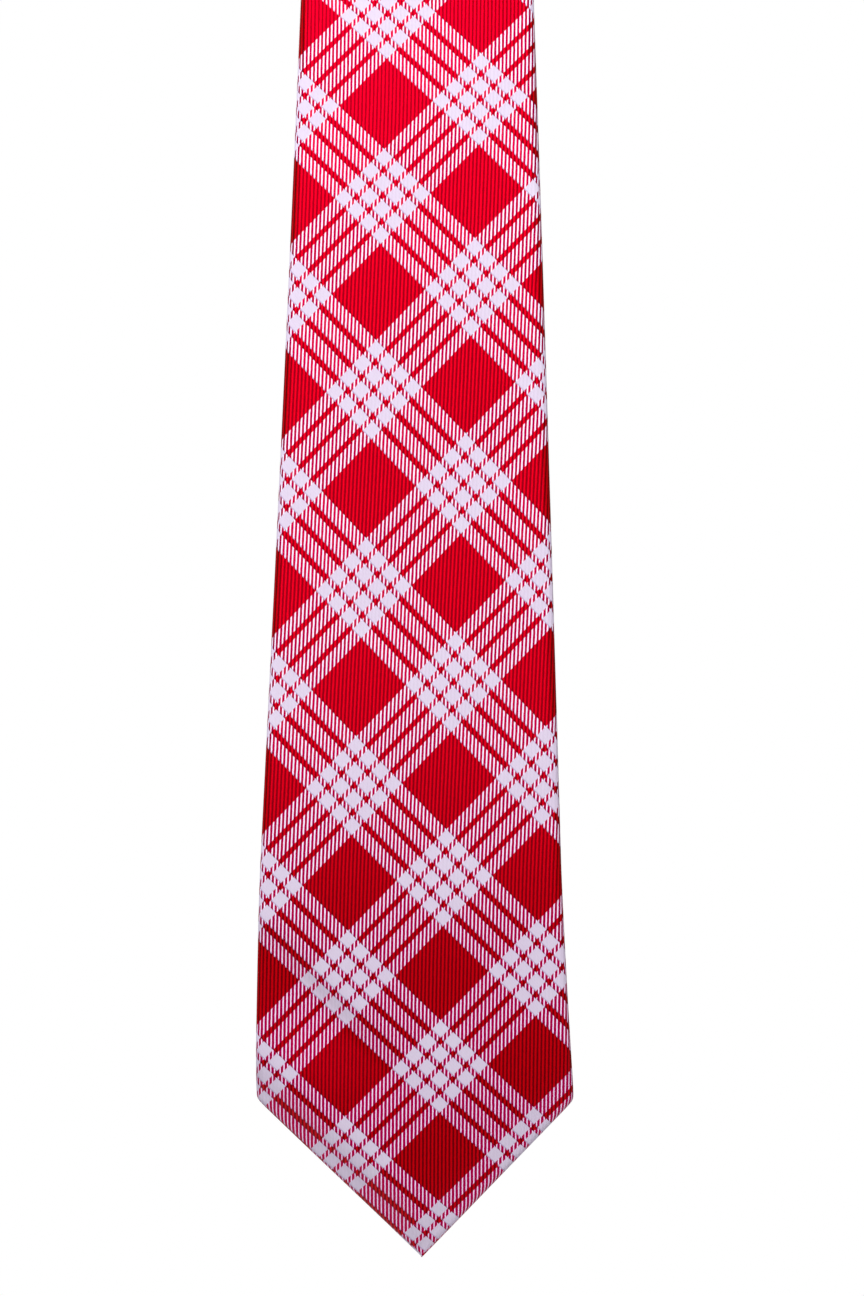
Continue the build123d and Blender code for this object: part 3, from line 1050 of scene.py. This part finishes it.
def plaid_material():
    """Bias-cut twill: at each place either the warp or the weft shows, in ribs along the tie."""
    nodes = Nodes("plaid_twill")
    warp_phase, weft_phase = nodes.uv()
    fray = nodes.times(nodes.minus(nodes.noise(900.0, 2.0), 0.5), 0.006)
    warp_phase = nodes.plus(warp_phase, fray)
    warp = white_share(nodes, warp_phase)
    weft = white_share(nodes, weft_phase)
    across = nodes.times(nodes.plus(warp_phase, weft_phase), TWILL_PER_REPEAT / 2)
    rib = nodes.wave(across)
    down = nodes.times(nodes.minus(weft_phase, warp_phase), 0.5)
    # Painted shade low on the wide blade: narrower floats and a redder, pinker hatch.
    low = nodes.ramp(down, *PAINTED_SHADE_REPEATS)
    shade_narrowing = nodes.times(low, PAINTED_SHADE_NARROWING)
    weft_rib = nodes.minus(rib, shade_narrowing)
    warp_rib = nodes.plus(rib, shade_narrowing)
    weft_up = nodes.ramp(weft_rib, *WEFT_FLOAT)
    warp_up = nodes.ramp(warp_rib, *WARP_FLOAT)
    both_white = nodes.times(warp, weft)
    any_white = nodes.math("MAXIMUM", warp, weft)
    one_white = nodes.math("MAXIMUM", nodes.times(warp_up, warp), nodes.times(weft_up, weft))
    white = nodes.math("MAXIMUM", one_white, both_white)
    slubs = nodes.noise(1600.0, 3.0)
    tone = nodes.noise(45.0, 4.0)
    rib_tone = nodes.math("MULTIPLY_ADD", slubs, 0.5, nodes.minus(rib, 0.25))
    # Painted shade: the red is darker in the grooves between the ribs.
    red = nodes.mix(nodes.ramp(rib_tone, 0.15, 0.85), RED_GROOVE_SHADE, RED_RIB)
    red = nodes.mix(any_white, red, nodes.mix(low, RED_HATCH, PAINTED_SHADE_HATCH))
    weft_picks = nodes.times(weft_phase, PICKS_PER_WEFT)
    warp_picks = nodes.times(warp_phase, PICKS_PER_WARP)
    picks_phase = nodes.minus(weft_picks, warp_picks)
    picks = nodes.wave(picks_phase)
    pick_tone = nodes.times(picks, nodes.math("MULTIPLY_ADD", slubs, 0.8, 0.2))
    # Painted shade in the grooves between the picks of the white squares.
    weave = nodes.mix(nodes.times(pick_tone, 0.55), WHITE_WEAVE, WHITE_GROOVE_SHADE)
    pale = nodes.mix(both_white, nodes.mix(low, WHITE_FLOAT, PAINTED_SHADE_FLOAT), weave)
    colour = nodes.mix(white, red, pale)
    before = white_share(nodes, nodes.minus(warp_phase, STRIPE_SHADOW))
    leaves = nodes.times(before, nodes.minus(1.0, warp))
    enters = nodes.times(warp, nodes.minus(1.0, before))
    edge = nodes.plus(leaves, enters)
    shadow = nodes.mix(white, RED_SHADOW, WHITE_SHADOW)
    shade = nodes.mix(nodes.times(edge, 0.85), (1, 1, 1, 1), shadow)
    colour = nodes.multiply(colour, shade)
    colour = nodes.multiply(colour, nodes.mix(tone, (0.90, 0.86, 0.90, 1), (1.0, 1.0, 1.0, 1)))
    red_gloss = nodes.mix(nodes.ramp(rib_tone, 0.1, 0.7), GROOVE_GLOSS, RED_GLOSS)
    gloss = nodes.mix(white, red_gloss, WHITE_GLOSS)
    height = nodes.plus(rib, nodes.times(picks, 0.22))
    height = nodes.plus(height, nodes.times(slubs, 0.35))
    height = nodes.plus(height, nodes.times(edge, -0.5))
    normal = nodes.bump(height, 0.00010, 0.5)
    rib_roughness = nodes.math("MULTIPLY_ADD", rib, -0.08, 0.46)
    roughness = nodes.math("MULTIPLY_ADD", white, 0.13, rib_roughness)
    level = nodes.math("MULTIPLY_ADD", white, -0.90, 1.0)
    return nodes.finish(
        Base_Color=colour,
        Roughness=roughness,
        Normal=normal,
        Specular_IOR_Level=level,
        Specular_Tint=gloss,
        IOR=1.95,
    )


def wool_material():
    """Brushed off-white interlining: a coarse weave under loose fibres."""
    nodes = Nodes("interlining_wool")
    x, s = nodes.uv()
    warp = nodes.math("SINE", nodes.times(x, 2 * math.pi / 0.9))
    weft = nodes.math("SINE", nodes.times(s, 2 * math.pi / 0.8))
    weave = nodes.times(warp, weft)
    fibres = nodes.noise(1400.0, 6.0)
    colour = nodes.mix(fibres, (0.72, 0.68, 0.58, 1), (0.90, 0.87, 0.80, 1))
    height = nodes.plus(nodes.times(weave, 0.3), fibres)
    normal = nodes.bump(height, 0.0004, 0.8)
    return nodes.finish(Base_Color=colour, Roughness=0.95, Normal=normal, Sheen_Weight=0.4)


def satin_material(name, dark, light):
    """Smooth lining: fine floats along the tie, with a soft sheen."""
    nodes = Nodes(name)
    x, s = nodes.uv()
    slanted = nodes.plus(x, nodes.times(s, 0.35))
    floats = nodes.wave(nodes.math("DIVIDE", slanted, 0.42))
    slubs = nodes.noise(220.0, 4.0)
    share = nodes.math("MULTIPLY_ADD", floats, 0.55, nodes.times(slubs, 0.45))
    colour = nodes.mix(share, dark, light)
    height = nodes.plus(floats, nodes.times(slubs, 0.8))
    wrinkles = nodes.bump(nodes.noise(38.0, 2.0), 0.0022, 0.6)
    return nodes.finish(
        Base_Color=colour, Roughness=0.32, Normal=nodes.bump(height, 0.00005, 0.5, under=wrinkles),
        Specular_Tint=(1.0, 0.4, 0.45, 1), Specular_IOR_Level=0.7,
    )


def thread_material(name, light, dark):
    """Two twisted plies."""
    nodes = Nodes(name)
    around, along = nodes.uv()
    twist = nodes.plus(nodes.times(around, 2.0), nodes.times(along, 1.6))
    ply = nodes.wave(twist)
    colour = nodes.mix(nodes.math("POWER", ply, 0.6), dark, light)
    normal = nodes.bump(ply, 0.00008, 0.9)
    return nodes.finish(Base_Color=colour, Roughness=0.45, Normal=normal, Sheen_Weight=0.2)


def tape_material(name, dark, light, sheen):
    """A blank woven label, with fine picks across."""
    nodes = Nodes(name)
    x, z = nodes.uv()
    picks = nodes.math("SINE", nodes.times(z, 2 * math.pi / 0.34))
    ends = nodes.math("SINE", nodes.times(x, 2 * math.pi / 0.5))
    weave = nodes.math("MULTIPLY_ADD", picks, 0.6, nodes.times(ends, 0.4))
    weave = nodes.math("MULTIPLY_ADD", weave, 0.5, 0.5)
    slubs = nodes.noise(500.0, 4.0)
    share = nodes.math("MULTIPLY_ADD", weave, 0.6, nodes.times(slubs, 0.4))
    colour = nodes.mix(share, dark, light)
    return nodes.finish(
        Base_Color=colour, Roughness=0.45, Normal=nodes.bump(share, 0.00006, 0.6), Sheen_Weight=sheen,
    )


# ---- stage
CAMERA_DISTANCE = 1.6
PHOTO_HEIGHT = 366.8
PHOTO_BOTTOM = 10.8
PHOTO_SHIFT_X = 6.0
SENSOR = 36.0
ROOM_LIGHT = 0.11
FLOOR_Z = -2.5
FLOOR_RADIUS = 5.0
FLOOR_SIDES = 96
FLOOR_GLOW = 0.50


def make_camera():
    data = bpy.data.cameras.new("camera")
    camera = bpy.data.objects.new("camera", data)
    bpy.context.collection.objects.link(camera)
    middle_z = (-FRONT_LENGTH - PHOTO_BOTTOM + PHOTO_HEIGHT / 2) * MM
    camera.location = (PHOTO_SHIFT_X * MM, -MIDDLE_RADIUS * MM - CAMERA_DISTANCE, middle_z)
    camera.rotation_euler = (math.pi / 2, 0, 0)
    data.sensor_width = SENSOR
    data.lens = SENSOR * CAMERA_DISTANCE / (PHOTO_HEIGHT * MM)
    data.clip_start = 0.05
    data.clip_end = 100
    bpy.context.scene.camera = camera


def soft_light(name, place_at, look_at, size, power):
    data = bpy.data.lights.new(name, "AREA")
    data.shape = "DISK"
    data.size = size
    data.energy = power
    light = bpy.data.objects.new(name, data)
    light.location = place_at
    direction = np.array(look_at) - np.array(place_at)
    light.rotation_mode = "QUATERNION"
    light.rotation_quaternion = Vector(direction).to_track_quat("-Z", "Y")
    light.visible_camera = False
    bpy.context.collection.objects.link(light)


def make_world():
    """White behind everything, and a dimmer white as the light from all round."""
    world = bpy.data.worlds.new("studio")
    world.use_nodes = True
    tree = world.node_tree
    background = tree.nodes["Background"]
    background.inputs["Color"].default_value = (1, 1, 1, 1)
    rays = tree.nodes.new("ShaderNodeLightPath")
    strength = tree.nodes.new("ShaderNodeMapRange")
    strength.inputs["To Min"].default_value = ROOM_LIGHT
    strength.inputs["To Max"].default_value = 1.0
    tree.links.new(rays.outputs["Is Camera Ray"], strength.inputs["Value"])
    tree.links.new(strength.outputs["Result"], background.inputs["Strength"])
    bpy.context.scene.world = world


def make_floor():
    """A pale round floor well under the tie, lit evenly by its own faint glow."""
    angles = np.linspace(0, 2 * math.pi, FLOOR_SIDES, endpoint=False)
    rim = [(FLOOR_RADIUS * math.cos(a), FLOOR_RADIUS * math.sin(a), FLOOR_Z) for a in angles]
    floor = new_object("floor", rim, [tuple(range(FLOOR_SIDES))], smooth_shading=False)
    nodes = Nodes("pale_floor")
    grain = nodes.mix(nodes.noise(3.0), (0.78, 0.78, 0.79, 1), (0.82, 0.82, 0.82, 1))
    glow = {"Emission_Color": (1, 1, 1, 1), "Emission_Strength": FLOOR_GLOW}
    floor.data.materials.append(nodes.finish(Base_Color=grain, Roughness=0.9, **glow))


def make_stage():
    make_world()
    make_floor()
    soft_light("key", (-0.10, -0.82, -0.18), (0, 0, -0.48), 0.45, 9.3)
    soft_light("fill", (1.1, -1.0, -0.9), (0, 0, -0.6), 0.8, 1.2)
    soft_light("left", (-0.9, 0.15, 0.45), (0, 0, -0.55), 0.6, 14.0)
    soft_light("right", (0.9, 0.15, 0.45), (0, 0, -0.55), 0.6, 6.0)
    soft_light("rear", (-0.5, 1.3, 0.2), (0, 0, -0.5), 0.9, 13.0)


def main():
    bpy.context.scene.view_settings.view_transform = "Standard"
    make_camera()
    make_stage()
    LOOKS.update(
        shell_plaid=plaid_material(),
        interlining_wool=wool_material(),
        tipping_satin=satin_material("tipping_satin", (0.42, 0.004, 0.02, 1), (0.62, 0.01, 0.04, 1)),
        thread_red=thread_material("thread_red", (0.55, 0.004, 0.02, 1), (0.25, 0.0, 0.01, 1)),
        thread_white=thread_material("thread_white", (0.86, 0.85, 0.86, 1), (0.55, 0.53, 0.56, 1)),
        label_tape=tape_material("label_tape", (0.005, 0.005, 0.007, 1), (0.03, 0.03, 0.035, 1), 0.0),
        care_tape=tape_material("care_tape", (0.62, 0.62, 0.60, 1), (0.84, 0.84, 0.82, 1), 0.2),
    )
    make_shells()
    make_interlinings()
    make_tippings()
    make_bar_tacks()
    make_hem_threads()
    make_slip_stitches()
    make_seam_threads()
    make_keeper()
    make_labels()


main()
